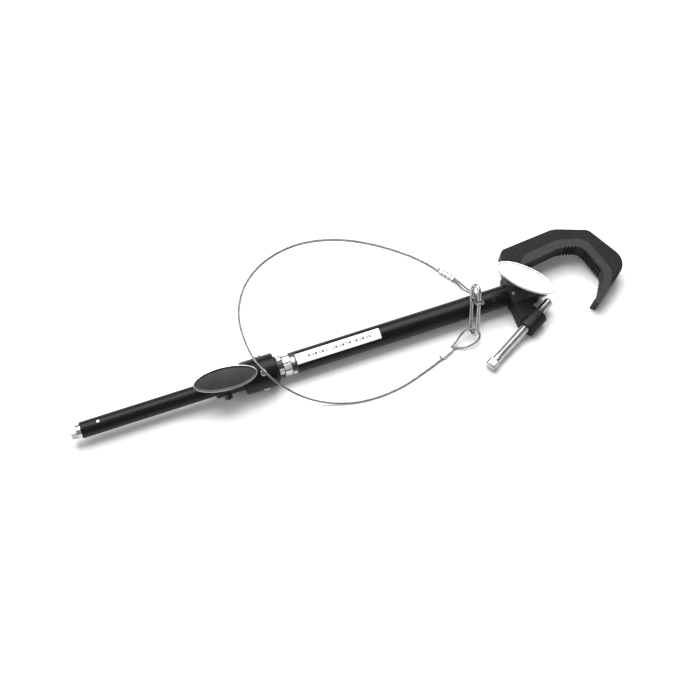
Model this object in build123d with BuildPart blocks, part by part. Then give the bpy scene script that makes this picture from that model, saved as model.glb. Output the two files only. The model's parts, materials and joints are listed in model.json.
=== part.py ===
from build123d import *
import os
from math import asin, atan2, cos, degrees, hypot, pi, radians, sin, tan

os.makedirs("parts", exist_ok=True)

# Telescopic drop arm with a pipe-hook clamp and a safety wire rope. It lies on its side on a flat
# surface. Millimetres. While it is modelled, the rod's axis is X and the hub's face is X = 0, with
# the hook on the +X side; the last section stands the whole on Z = 0, over its own origin.
# A roll is an angle about the rod, from +Z toward -Y.

# ---- fits, all radial -------------------------------------------------------------------------
fit = 0.02                  # pieces fixed in each other
run = 0.06                  # pieces that turn or slide in each other
play = 0.3                  # pieces that only pass each other

# ---- rod --------------------------------------------------------------------------------------
tube_dia = 25.4
tube_wall = 2.0
inner_dia = 0.75 * tube_dia
inner_wall = 1.65
outer_length = 360.6        # hub face to nose
extension = 155.8           # inner tube shown beyond the nose
inner_overlap = 169.2       # inner tube left inside the outer one

nose_length = 34.6          # lock sleeve shown before the collar
collar_dia = 1.5 * tube_dia
collar_length = 39.0
collar_chamfer = 1.0
shoulder_dia = tube_dia + 2.6
shoulder_length = 2.0
sleeve_grip = 18.0          # how far the lock sleeve reaches into the collar
guide_length = 14.0
stop_length = 8.0
stop_pin_dia = 4.0

collar_screw_place = 22.7   # from the collar's nose side
screw_roll = 28.0
button_head_dia = 8.0
button_head_height = 2.0
screw_dia = 4.0
socket_across = 2.5

foil_length = 22.5
label_length = 102.0
label_arc = 58.0
label_roll = 14.0
label_thickness = 0.15

# ---- free end ---------------------------------------------------------------------------------
yoke_bolt_dia = 9.525
yoke_head_across = 14.3
yoke_head_height = 6.0
yoke_thread = 15.0
washer_dia = inner_dia - 3.05
washer_thickness = 1.6
lock_washer_dia = washer_dia - 0.8
lock_washer_thickness = 2.4
lock_washer_slit = 1.2
plug_length = 26.0
plug_pin_dia = 3.0
plug_pin_place = 21.0

# ---- swivel -----------------------------------------------------------------------------------
hub_length = 32.0
journal_dia = 16.0
bush_wall = 2.0
thrust_thickness = 1.0
spigot_plug_length = 32.0
spigot_screw_place = 20.0
spigot_screw_dia = 5.0
nut_dia = journal_dia + 15
nut_length = 13.0
nut_slot_width = 3.4
nut_slot_depth = 4.0
split_pin_dia = 2.4
journal_end = 1.5           # journal shown beyond the nut
grub_place = 2.8
grub_dia = 4.0

# ---- T-handles --------------------------------------------------------------------------------
handle_length = 73.0
handle_width = 27.0
handle_edge = 3.0
rim_width = 2.2
rim_height = 0.9
handle_waist = 8.0          # depth over which the oval narrows to the hub
stud_dia = 8.0
handle_hub_dia = stud_dia + 6
handle_hub_height = 6.0
waist_step = 0.4            # the waist starts this far inside the hub's rim
stud_bury = 9.0
lock_face = collar_dia / 2 + 21.95# rod axis to the face of the oval
lock_place = 12.6           # nose to the stud
lock_roll = 18.0
lock_turn = -4.0
clamp_face = collar_dia / 2 + 22.95
clamp_place = 17.0
clamp_turn = -45.0
shoe_dia = stud_dia - 0.4
shoe_height = 2.0
tension_screw_dia = 9.0
tension_screw_reach = tube_dia / 2 + 5
tension_socket = 5.0
tension_socket_depth = 4.0

# ---- hook -------------------------------------------------------------------------------------
plate_thickness = 22.4
band_thickness = 24.4       # the smoother band along the throat stands prouder
band_width = 10.5
plate_round = 2.0
tooth_pitch = 3.7
tooth_depth = 1.7
groove_half = 0.42 * tooth_pitch
groove_overshoot = 0.6      # how far a groove's cutter starts outside the wall
hook_back = [(0, -40), (0, 0), (10.2, 52), (81, 58.3), (121.5, 44), (151.2, -8), (96.5, -48)]
hook_back_radii = [0, 8, 8, 30, 12, 20, 3]
hook_throat = [(90.5, -42.5), (100.5, -38.5), (116.8, -13.5), (104.5, 25.5), (78, 32.3), (27.5, 25)]
hook_throat_radii = [1.5, 4, 7, 10, 14, 6]
hook_root = [(25, 12), (25, -13.4), (20, -34)]
hook_root_radii = [0, 8, 0]
toothed_stretches = [
    ((102.3, -36.2), (115.2, -16.4)),
    ((115.6, -9.7), (106.6, 19.0)),
    ((99.2, 26.9), (84.0, 30.8)),
]

jaw_dia = 11.1
boss_dia = jaw_dia + 13.5
boss_length = 25.0
boss_centre = (15.8, -39.65)
jaw_angle = 28.8
jaw_head_across = jaw_dia + 1.6
jaw_head_height = 10.0
jaw_tip = 34.4              # boss centre to the bolt's tip
jaw_head = 67.5             # boss centre to the underside of the head
jaw_chamfer = 1.8

# ---- safety rope and carabiner, placed from the finished origin -------------------------------
cable_dia = 2.4
cable_route = [
    (101.4, -26.0, 2.4), (108.4, -22.9, 2.6), (115.8, -19.4, 5.0), (124.1, -14.2, 10.4),
    (130.6, -12.9, 15.8), (138.1, -15.8, 18.1), (144.2, -20.5, 15.3), (142.4, -26.9, 9.8),
    (133.2, -29.4, 5.2), (121.0, -28.7, 3.0), (113.2, -24.0, 2.4), (103.2, -28.4, 2.5),
    (92.6, -33.1, 2.4), (69.5, -41.5, 1.3), (30.6, -53.3, 1.3), (-13.2, -54.2, 1.3),
    (-48.7, -43.8, 2.5), (-76.2, -29.8, 10.0), (-98.0, -14.6, 28.0), (-110.7, -1.2, 43.0),
    (-118.2, 20.0, 43.0), (-118.7, 54.3, 27.0), (-115.5, 89.0, 10.0), (-107.9, 117.4, 2.0),
    (-90.8, 144.3, 1.3), (-61.6, 165.5, 1.3), (-18.9, 176.0, 1.3), (26.9, 168.2, 1.3),
    (68.6, 146.5, 1.3), (105.3, 116.2, 1.3), (124.9, 93.5, 1.5), (133.4, 78.8, 2.4),
    (140.6, 68.0, 2.5), (146.5, 58.9, 2.4), (147.6, 51.7, 5.2), (147.0, 41.7, 13.5),
    (146.2, 30.7, 25.4), (147.0, 19.5, 38.0), (149.0, 9.1, 43.2), (143.1, -0.0, 51.0),
    (142.7, -6.7, 55.8), (152.1, -7.8, 54.2), (152.5, -1.1, 49.4), (152.3, 8.7, 42.6),
    (151.4, 19.5, 37.2), (150.6, 30.7, 24.8), (151.0, 42.2, 13.5), (151.4, 52.2, 5.2),
    (149.0, 60.5, 2.4), (141.2, 72.1, 2.5), (134.2, 83.0, 2.4),
]
sleeve_width = 2 * cable_dia + 2.8
sleeve_height = cable_dia + 2.3
sleeve_spacing = cable_dia + 0.7# between the two strands
sleeve_bore = cable_dia + 0.6
lower_sleeve_length = 17.0
lower_sleeve_middle = (100.4, -28.0, 2.4)
lower_sleeve_way = (0.916, 0.40, 0)
upper_sleeve_length = 20.6
upper_sleeve_middle = (140.3, 71.0, 2.4)
upper_sleeve_way = (0.549, -0.836, 0)

wire_dia = 5.0
carabiner_length = 60.7     # between the middles of its two bends' wire
carabiner_half = 7.5        # middle to a leg's middle
carabiner_foot = (137.2, -19.2, 13.2)
carabiner_way = (0.206, 0.527, 0.824)
carabiner_side = (0.187, -0.84, 0.498)
nose_end = 14.7
hinge_end = 43.8
gate_pin_place = 40.2
gate_pin_dia = 0.32 * wire_dia
tongue = 0.36 * wire_dia

# ---- sizes that follow ------------------------------------------------------------------------
tube_radius = tube_dia / 2
tube_bore = tube_radius - tube_wall
inner_radius = inner_dia / 2
inner_bore = inner_radius - inner_wall
nose_x = -outer_length
collar_x = nose_x + nose_length
collar_end_x = collar_x + collar_length
join_x = collar_x + sleeve_grip
lock_x = nose_x + lock_place
free_x = nose_x - extension
inner_end_x = nose_x + inner_overlap
foil_x = collar_end_x + shoulder_length
label_x = foil_x + foil_length
tube_end_x = -(thrust_thickness + run)
nut_x = hub_length + run
nut_end_x = nut_x + nut_length
split_pin_x = nut_end_x - nut_slot_depth / 2
button_seat = (collar_dia / 2) * cos(asin(button_head_dia / 2 / (collar_dia / 2))) - 0.05


def station(x):
    """Plane square to the rod at x, its normal along +X."""
    return Plane(origin=(x, 0, 0), x_dir=(0, 1, 0), z_dir=(1, 0, 0))


def radial(x, roll, turn=0):
    """Plane through the rod's axis at x, its normal pointing out at a roll."""
    facing = Plane(origin=(x, 0, 0), x_dir=(1, 0, 0), z_dir=(0, -sin(radians(roll)), cos(radians(roll))))
    return Plane(facing.location * Location((0, 0, 0), (0, 0, turn)))


def meridian(roll):
    """Plane that holds the rod's axis, its local y pointing out at a roll."""
    return Plane(origin=(0, 0, 0), x_dir=(1, 0, 0), z_dir=(0, -cos(radians(roll)), -sin(radians(roll))))


def ring(start_x, end_x, outer, inner):
    """Round sleeve on the rod, from radii."""
    with BuildPart() as sleeve:
        with BuildSketch(station(start_x)):
            Circle(outer)
            Circle(inner, mode=Mode.SUBTRACT)
        extrude(amount=end_x - start_x)
    return sleeve


def drill(plane, diameter):
    """Hole from a plane outward, along its normal, in the part being built."""
    with Locations(plane):
        Cylinder(
            diameter / 2,
            collar_dia,
            align=(Align.CENTER, Align.CENTER, Align.MIN),
            mode=Mode.SUBTRACT,
        )


def drill_across(x, diameter):
    """Upright hole right through the rod at x, in the part being built."""
    with Locations((x, 0, 0)):
        Cylinder(diameter / 2, 2 * tube_dia, mode=Mode.SUBTRACT)


# ---- outer tube and what is fixed to it -------------------------------------------------------
with BuildPart() as outer_tube:
    with BuildSketch(station(join_x)):
        Circle(tube_radius)
        Circle(tube_bore, mode=Mode.SUBTRACT)
    extrude(amount=tube_end_x - join_x)
    for quarter in range(4):
        drill(radial(collar_x + collar_screw_place, screw_roll + 90 * quarter), screw_dia + 2 * fit)
        drill(radial(-spigot_screw_place, screw_roll + 90 * quarter), spigot_screw_dia + 2 * fit)

with BuildPart() as lock_sleeve:
    with BuildSketch(station(nose_x)):
        Circle(tube_radius)
        Circle(inner_radius + run, mode=Mode.SUBTRACT)
    extrude(amount=join_x - nose_x)
    chamfer(lock_sleeve.faces().sort_by(Axis.X)[0].outer_wire().edges(), length=0.8)
    drill(radial(lock_x, lock_roll), stud_dia + 2 * run)
    drill(radial(lock_x, lock_roll + 90), tension_screw_dia + 2 * fit)

guide_bush = ring(join_x, join_x + guide_length, tube_bore - fit, inner_radius + run)

with BuildPart() as lock_collar:
    with BuildSketch(station(collar_x)):
        Circle(collar_dia / 2)
    extrude(amount=collar_length)
    chamfer(lock_collar.edges().filter_by(GeomType.CIRCLE), length=collar_chamfer)
    with BuildSketch(station(collar_end_x)):
        Circle(shoulder_dia / 2)
    extrude(amount=shoulder_length)
    with BuildSketch(station(collar_x)):
        Circle(tube_radius + fit)
    extrude(amount=collar_length + shoulder_length, mode=Mode.SUBTRACT)
    for quarter in range(4):
        seat = radial(collar_x + collar_screw_place, screw_roll + 90 * quarter)
        drill(seat, screw_dia + 2 * fit)
        drill(seat.offset(button_seat), button_head_dia + 2 * play)

with BuildPart() as collar_screws:
    for quarter in range(4):
        seat = radial(collar_x + collar_screw_place, screw_roll + 90 * quarter)
        with BuildSketch(seat.offset(tube_radius - tube_wall + play)):
            Circle(screw_dia / 2)
        extrude(amount=button_seat - tube_radius + tube_wall - play)
        with BuildSketch(seat.offset(button_seat)):
            Circle(button_head_dia / 2)
        extrude(amount=button_head_height)
        top = collar_screws.faces().sort_by(Axis((0, 0, 0), tuple(seat.z_dir)))[-1]
        fillet(top.edges(), radius=button_head_height * 0.7)
        with BuildSketch(seat.offset(button_seat + button_head_height * 0.3)):
            RegularPolygon(socket_across / 2, 6, major_radius=False)
        extrude(amount=button_head_height, mode=Mode.SUBTRACT)

with BuildPart() as tension_set_screw:
    seat = radial(lock_x, lock_roll + 90)
    with BuildSketch(seat.offset(inner_radius + play)):
        Circle(tension_screw_dia / 2)
    extrude(amount=tension_screw_reach - inner_radius - play)
    with BuildSketch(seat.offset(tension_screw_reach - tension_socket_depth)):
        RegularPolygon(tension_socket / 2, 6, major_radius=False)
    extrude(amount=tension_socket_depth, mode=Mode.SUBTRACT)

foil_band = ring(foil_x, label_x, tube_radius + label_thickness, tube_radius)

with BuildPart() as white_label:
    with BuildSketch(meridian(label_roll - label_arc / 2)):
        with Locations((label_x, tube_radius)):
            Rectangle(label_length, label_thickness, align=(Align.MIN, Align.MIN))
    revolve(axis=Axis.X, revolution_arc=label_arc)

# ---- inner tube -------------------------------------------------------------------------------
with BuildPart() as inner_tube:
    with BuildSketch(station(free_x)):
        Circle(inner_radius)
        Circle(inner_bore, mode=Mode.SUBTRACT)
    extrude(amount=inner_end_x - free_x)
    drill_across(free_x + plug_pin_place, plug_pin_dia + 2 * fit)
    drill_across(inner_end_x - stop_length / 2, stop_pin_dia + 2 * fit)

with BuildPart() as stop_ring:
    with BuildSketch(station(inner_end_x - stop_length)):
        Circle(tube_bore - play)
        Circle(inner_radius + fit, mode=Mode.SUBTRACT)
    extrude(amount=stop_length)
    drill_across(inner_end_x - stop_length / 2, stop_pin_dia + 2 * fit)

with BuildPart() as stop_pin:
    with Locations((inner_end_x - stop_length / 2, 0, 0)):
        Cylinder(stop_pin_dia / 2, 2 * tube_bore - 4 * play)

with BuildPart() as end_plug:
    with BuildSketch(station(free_x)):
        Circle(inner_bore - fit)
    extrude(amount=plug_length)
    with BuildSketch(station(free_x)):
        Circle(yoke_bolt_dia / 2 + run)
    extrude(amount=yoke_thread + 1, mode=Mode.SUBTRACT)
    drill_across(free_x + plug_pin_place, plug_pin_dia + 2 * fit)

with BuildPart() as end_plug_pin:
    with Locations((free_x + plug_pin_place, 0, 0)):
        Cylinder(plug_pin_dia / 2, 2 * inner_radius - 2 * play)

outer_washer_x = free_x - 2 * washer_thickness - lock_washer_thickness
with BuildPart() as end_washers:
    for start_x in (free_x - washer_thickness, outer_washer_x):
        with BuildSketch(station(start_x)):
            Circle(washer_dia / 2)
            Circle(yoke_bolt_dia / 2 + play, mode=Mode.SUBTRACT)
        extrude(amount=washer_thickness)

with BuildPart() as lock_washer:
    with BuildSketch(station(free_x - washer_thickness - lock_washer_thickness)):
        Circle(lock_washer_dia / 2)
        Circle(yoke_bolt_dia / 2 + play, mode=Mode.SUBTRACT)
        with Locations((0, washer_dia / 2)):
            Rectangle(lock_washer_slit, washer_dia, mode=Mode.SUBTRACT)
    extrude(amount=lock_washer_thickness)

yoke_head_x = outer_washer_x - run
with BuildPart() as yoke_bolt:
    with BuildSketch(station(yoke_head_x)):
        RegularPolygon(yoke_head_across / 2, 6, major_radius=False)
    extrude(amount=-yoke_head_height)
    with BuildSketch(station(yoke_head_x)):
        Circle(yoke_bolt_dia / 2)
    extrude(amount=free_x + yoke_thread - yoke_head_x)

# ---- swivel -----------------------------------------------------------------------------------
with BuildPart() as swivel_spigot:
    with BuildSketch(station(tube_end_x)):
        Circle(tube_bore - fit)
    extrude(amount=-spigot_plug_length)
    with BuildSketch(station(tube_end_x)):
        Circle(journal_dia / 2)
    extrude(amount=nut_end_x + journal_end - tube_end_x)
    chamfer(swivel_spigot.faces().sort_by(Axis.X)[-1].edges(), length=1)
    for quarter in range(4):
        seat = radial(-spigot_screw_place, screw_roll + 90 * quarter)
        drill(seat.offset(tube_bore / 2), spigot_screw_dia + 2 * fit)
    drill_across(split_pin_x, split_pin_dia + 2 * fit)

with BuildPart() as spigot_screws:
    for quarter in range(4):
        seat = radial(-spigot_screw_place, screw_roll + 90 * quarter)
        with BuildSketch(seat.offset(tube_bore / 2)):
            Circle(spigot_screw_dia / 2)
        extrude(amount=tube_radius - tube_bore / 2 - play)
        with BuildSketch(seat.offset(tube_bore)):
            RegularPolygon(socket_across / 2, 6, major_radius=False)
        extrude(amount=tube_radius, mode=Mode.SUBTRACT)

thrust_washer = ring(tube_end_x, tube_end_x + thrust_thickness, tube_radius, journal_dia / 2 + run)

with BuildPart() as retaining_nut:
    with BuildSketch(station(nut_x)):
        Circle(nut_dia / 2)
        Circle(journal_dia / 2 + fit, mode=Mode.SUBTRACT)
    extrude(amount=nut_length)
    with BuildSketch(station(nut_end_x)):
        with PolarLocations(0, 3):
            Rectangle(nut_slot_width, nut_dia + 1)
    extrude(amount=-nut_slot_depth, mode=Mode.SUBTRACT)

with BuildPart() as nut_split_pin:
    with Locations((split_pin_x, 0, 0)):
        Cylinder(split_pin_dia / 2, nut_dia - 2)

# ---- hook casting -----------------------------------------------------------------------------
# The arm lies on its collar and on the hub, which is as large. The hook leans over about the rod
# until the lower edge of its tip, where the band is thickest, also touches the surface.
rest_height = -min(lock_collar.part.bounding_box().min.Z, collar_screws.part.bounding_box().min.Z)

with BuildSketch() as hook_outline:
    with BuildLine():
        FilletPolyline(
            *(hook_back + hook_throat + hook_root),
            radius=hook_back_radii + hook_throat_radii + hook_root_radii,
            close=True,
        )
    make_face()

tip_reach = -hook_outline.sketch.bounding_box().min.Y
tip_drop = band_thickness / 2
hook_lean = asin(rest_height / hypot(tip_reach, tip_drop)) - atan2(tip_drop, tip_reach)
clamp = Plane(origin=(0, 0, 0), x_dir=(1, 0, 0), z_dir=(0, -sin(hook_lean), cos(hook_lean)))
clamp_stud = Plane(clamp.location * Location((clamp_place, 0, 0), (0, 0, clamp_turn)))
boss_point = clamp.from_local_coords((boss_centre[0], boss_centre[1], 0))
jaw_way = clamp.from_local_coords((cos(radians(jaw_angle)), sin(radians(jaw_angle)), 0))
jaw = Plane(origin=boss_point, x_dir=clamp.z_dir, z_dir=jaw_way)

with BuildSketch() as throat_band:
    with BuildLine():
        FilletPolyline(*hook_throat, (60, 0), radius=hook_throat_radii + [0], close=True)
    make_face()
    offset(amount=band_width)
    add(hook_outline.sketch, mode=Mode.INTERSECT)

with BuildSketch() as saw_teeth:
    for start, end in toothed_stretches:
        length = hypot(end[0] - start[0], end[1] - start[1])
        heading = degrees(atan2(end[1] - start[1], end[0] - start[0]))
        count = int(length / tooth_pitch)
        for tooth in range(count):
            along = (tooth + 0.5) * length / count
            place = Location((start[0], start[1], 0), (0, 0, heading)) * Location((along, 0, 0))
            with Locations(place):
                Polygon(
                    (-groove_half, groove_overshoot),
                    (0, -tooth_depth),
                    (groove_half, groove_overshoot),
                    align=None,
                )

with BuildPart() as hook_casting:
    with BuildSketch(clamp):
        add(hook_outline.sketch)
    extrude(amount=plate_thickness / 2, both=True)
    across = Axis((0, 0, 0), tuple(clamp.z_dir))
    for face in (hook_casting.faces().sort_by(across)[0], hook_casting.faces().sort_by(across)[-1]):
        fillet(face.edges(), radius=plate_round)
    with BuildSketch(clamp):
        add(throat_band.sketch)
    extrude(amount=band_thickness / 2, both=True)
    with BuildSketch(station(0)):
        Circle(rest_height)
    extrude(amount=hub_length)
    with BuildSketch(jaw.offset(-boss_length / 2)):
        Circle(boss_dia / 2)
    extrude(amount=boss_length)
    with BuildSketch(clamp):
        add(saw_teeth.sketch)
    extrude(amount=band_thickness, both=True, mode=Mode.SUBTRACT)
    with BuildSketch(station(0)):
        Circle(journal_dia / 2 + bush_wall + run)
    extrude(amount=hub_length, mode=Mode.SUBTRACT)
    with BuildSketch(jaw.offset(-boss_length)):
        Circle(jaw_dia / 2 + run)
    extrude(amount=2 * boss_length, mode=Mode.SUBTRACT)
    drill(clamp_stud, stud_dia + 2 * run)
    drill(radial(grub_place, screw_roll).offset(journal_dia / 2 + bush_wall + play), grub_dia + 2 * fit)

with BuildPart() as hub_bush:
    with BuildSketch(station(play)):
        Circle(journal_dia / 2 + bush_wall)
        Circle(journal_dia / 2 + run, mode=Mode.SUBTRACT)
    extrude(amount=hub_length - 2 * play)
    drill(clamp_stud, stud_dia + 2 * run)

with BuildPart() as hub_grub_screw:
    seat = radial(grub_place, screw_roll)
    with BuildSketch(seat.offset(journal_dia / 2 + bush_wall + 2 * play)):
        Circle(grub_dia / 2)
    extrude(amount=rest_height - journal_dia / 2 - bush_wall - 4 * play)

with BuildPart() as jaw_bolt:
    with BuildSketch(jaw.offset(-jaw_head)):
        Circle(jaw_dia / 2)
    extrude(amount=jaw_head + jaw_tip)
    tip = jaw_bolt.faces().sort_by(Axis((0, 0, 0), tuple(jaw.z_dir)))[-1]
    chamfer(tip.edges(), length=jaw_chamfer)
    with BuildSketch(jaw.offset(-jaw_head)):
        Rectangle(jaw_head_across, jaw_head_across)
    extrude(amount=-jaw_head_height)


# ---- T-handles --------------------------------------------------------------------------------
def oval(inset=0.0, mode=Mode.ADD):
    """Outline of the handle's face, drawn in all round."""
    Ellipse(handle_length / 2 - inset, handle_width / 2 - inset, mode=mode)


def t_handle(stud_plane, face_height):
    """Oval handle with a raised rim, that narrows to a round hub bored for its stud."""
    flat = face_height - rim_height
    waist = flat - handle_edge - handle_waist
    with BuildPart() as handle:
        with BuildSketch(stud_plane.offset(flat - handle_edge)):
            oval()
        extrude(amount=handle_edge)
        with BuildSketch(stud_plane.offset(flat)):
            oval()
            oval(rim_width, mode=Mode.SUBTRACT)
        extrude(amount=rim_height)
        with BuildSketch(stud_plane.offset(flat - handle_edge)):
            oval(1.5 * rim_width)
        with BuildSketch(stud_plane.offset(waist)):
            Ellipse(handle_hub_dia / 2 - waist_step, handle_hub_dia / 2 - 2 * waist_step)
        loft()
        with BuildSketch(stud_plane.offset(waist)):
            Circle(handle_hub_dia / 2)
        extrude(amount=-handle_hub_height)
        with BuildSketch(stud_plane.offset(waist - handle_hub_height)):
            Circle(stud_dia / 2 + fit)
        extrude(amount=stud_bury, mode=Mode.SUBTRACT)
    return handle


def t_stud(stud_plane, face_height, foot):
    """Stud from its foot on the brake shoe up into the handle's hub."""
    mouth = face_height - rim_height - handle_edge - handle_waist - handle_hub_height
    with BuildPart() as stud:
        with BuildSketch(stud_plane.offset(foot)):
            Circle(stud_dia / 2)
        extrude(amount=mouth + stud_bury - play - foot)
    return stud


def brake_shoe(stud_plane, seat_radius):
    """Round pad, hollowed to the shaft that it grips."""
    with BuildPart() as shoe:
        with BuildSketch(stud_plane.offset(seat_radius / 2)):
            Circle(shoe_dia / 2)
        extrude(amount=seat_radius / 2 + shoe_height)
        with BuildSketch(station(stud_plane.origin.X - shoe_dia)):
            Circle(seat_radius)
        extrude(amount=2 * shoe_dia, mode=Mode.SUBTRACT)
    return shoe


lock_stud = radial(lock_x, lock_roll, lock_turn)
lock_handle = t_handle(lock_stud, lock_face)
lock_handle_stud = t_stud(lock_stud, lock_face, inner_radius + run + shoe_height + run)
lock_brake_shoe = brake_shoe(lock_stud, inner_radius + run)
clamp_handle = t_handle(clamp_stud, clamp_face)
clamp_handle_stud = t_stud(clamp_stud, clamp_face, journal_dia / 2 + run + shoe_height + run)
clamp_brake_shoe = brake_shoe(clamp_stud, journal_dia / 2 + run)


# ---- safety rope ------------------------------------------------------------------------------
def corner_radii(route):
    """Radius of each inner corner, as large as its two runs allow."""
    radii = []
    for before, here, after in zip(route, route[1:], route[2:]):
        into = Vector(here) - Vector(before)
        out = Vector(after) - Vector(here)
        turn = radians(into.get_angle(out))
        radii.append(0.45 * min(into.length, out.length) / tan(turn / 2))
    return radii


def crimp_sleeve(middle, way, length):
    """Flat oval ferrule with a bore for each of the two strands."""
    front = Plane(origin=middle, x_dir=(way[1], -way[0], 0), z_dir=way)
    with BuildPart() as sleeve:
        with BuildSketch(front):
            SlotOverall(sleeve_width, sleeve_height)
            with GridLocations(sleeve_spacing, 0, 2, 1):
                Circle(sleeve_bore / 2, mode=Mode.SUBTRACT)
        extrude(amount=length / 2, both=True)
    return sleeve


cable_radii = corner_radii(cable_route)
with BuildPart() as safety_cable:
    with BuildLine() as cable_line:
        FilletPolyline(*cable_route, radius=cable_radii)
    with BuildSketch(Plane(origin=cable_line.line @ 0, z_dir=cable_line.line % 0)):
        Circle(cable_dia / 2)
    sweep(path=cable_line.line)

cable_sleeve_lower = crimp_sleeve(lower_sleeve_middle, lower_sleeve_way, lower_sleeve_length)
cable_sleeve_upper = crimp_sleeve(upper_sleeve_middle, upper_sleeve_way, upper_sleeve_length)

# ---- carabiner: local x runs from the gate to the spine, local y along it ----------------------
side = Vector(*carabiner_side)
loop = Plane(origin=carabiner_foot, x_dir=side, z_dir=side.cross(Vector(*carabiner_way)))
top_bend = carabiner_length - carabiner_half
with BuildPart() as carabiner_body:
    with BuildLine(loop) as wire:
        Line((-carabiner_half, nose_end), (-carabiner_half, carabiner_half))
        ThreePointArc((-carabiner_half, carabiner_half), (0, 0), (carabiner_half, carabiner_half))
        Line((carabiner_half, carabiner_half), (carabiner_half, top_bend))
        ThreePointArc((carabiner_half, top_bend), (0, carabiner_length), (-carabiner_half, top_bend))
        Line((-carabiner_half, top_bend), (-carabiner_half, hinge_end))
    with BuildSketch(Plane(origin=wire.line @ 0, z_dir=wire.line % 0)):
        Circle(wire_dia / 2)
    sweep(path=wire.line)
    with BuildSketch(loop.offset(-tongue / 2)):
        with Locations((-carabiner_half, gate_pin_place)):
            Circle(wire_dia / 2 - play)
            Rectangle(
                wire_dia - 2 * play,
                hinge_end - gate_pin_place + play,
                align=(Align.CENTER, Align.MIN),
            )
            Circle(gate_pin_dia / 2 + run, mode=Mode.SUBTRACT)
    extrude(amount=tongue)

with BuildPart() as carabiner_gate:
    gate_tip = loop.from_local_coords((-carabiner_half, nose_end + play, 0))
    with BuildSketch(Plane(origin=gate_tip, z_dir=loop.y_dir)):
        Circle(wire_dia / 2)
    extrude(amount=gate_pin_place + wire_dia / 2 - play - nose_end - play)
    with BuildSketch(loop.offset(-tongue / 2 - play)):
        with Locations((-carabiner_half, gate_pin_place - wire_dia * 0.7)):
            Rectangle(2 * wire_dia, 3 * wire_dia, align=(Align.CENTER, Align.MIN))
    extrude(amount=tongue + 2 * play, mode=Mode.SUBTRACT)
    with BuildSketch(loop.offset(-wire_dia)):
        with Locations((-carabiner_half, gate_pin_place)):
            Circle(gate_pin_dia / 2 + fit)
    extrude(amount=2 * wire_dia, mode=Mode.SUBTRACT)

with BuildPart() as gate_pin:
    with BuildSketch(loop):
        with Locations((-carabiner_half, gate_pin_place)):
            Circle(gate_pin_dia / 2)
    extrude(amount=wire_dia / 2 - play, both=True)


# ---- out --------------------------------------------------------------------------------------
pieces = {
    "outer_tube": outer_tube,
    "lock_sleeve": lock_sleeve,
    "guide_bush": guide_bush,
    "lock_collar": lock_collar,
    "collar_screws": collar_screws,
    "tension_set_screw": tension_set_screw,
    "foil_band": foil_band,
    "white_label": white_label,
    "inner_tube": inner_tube,
    "stop_ring": stop_ring,
    "stop_pin": stop_pin,
    "end_plug": end_plug,
    "end_plug_pin": end_plug_pin,
    "end_washers": end_washers,
    "lock_washer": lock_washer,
    "yoke_bolt": yoke_bolt,
    "swivel_spigot": swivel_spigot,
    "spigot_screws": spigot_screws,
    "thrust_washer": thrust_washer,
    "retaining_nut": retaining_nut,
    "nut_split_pin": nut_split_pin,
    "hook_casting": hook_casting,
    "hub_bush": hub_bush,
    "hub_grub_screw": hub_grub_screw,
    "jaw_bolt": jaw_bolt,
    "lock_handle": lock_handle,
    "lock_handle_stud": lock_handle_stud,
    "lock_brake_shoe": lock_brake_shoe,
    "clamp_handle": clamp_handle,
    "clamp_handle_stud": clamp_handle_stud,
    "clamp_brake_shoe": clamp_brake_shoe,
}
boxes = [piece.part.bounding_box() for piece in pieces.values()]
low = [min(tuple(box.min)[axis] for box in boxes) for axis in range(3)]
high = [max(tuple(box.max)[axis] for box in boxes) for axis in range(3)]
stand = Location((-(low[0] + high[0]) / 2, -(low[1] + high[1]) / 2, -low[2]))
for name, piece in pieces.items():
    piece.part = piece.part.moved(stand)

pieces |= {
    "safety_cable": safety_cable,
    "cable_sleeve_lower": cable_sleeve_lower,
    "cable_sleeve_upper": cable_sleeve_upper,
    "carabiner_body": carabiner_body,
    "carabiner_gate": carabiner_gate,
    "gate_pin": gate_pin,
}
for name, piece in pieces.items():
    piece.part.label = name
    export_step(piece.part, f"parts/{name}.step")

cable_length = sum(edge.length for edge in cable_line.edges())
swept = safety_cable.part.volume / (pi * cable_dia**2 / 4)
print("origin from the hub face", stand.position, "hook lean", round(degrees(hook_lean), 3))
print("cable length", round(cable_length, 1), "from its volume", round(swept, 1))
print("cable radii", [round(radius, 1) for radius in cable_radii])
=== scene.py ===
"""Looks of a telescopic drop arm with a pipe-hook clamp and a safety wire rope, in metres.

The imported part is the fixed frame. Pieces with fine surface shape (threads, twisted strands,
crimps, rimmed handles, bent wire) are worked out here with numpy, and every piece gets its finish.
"""

import json
import logging
import math
from dataclasses import dataclass, field
from enum import Enum

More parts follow.
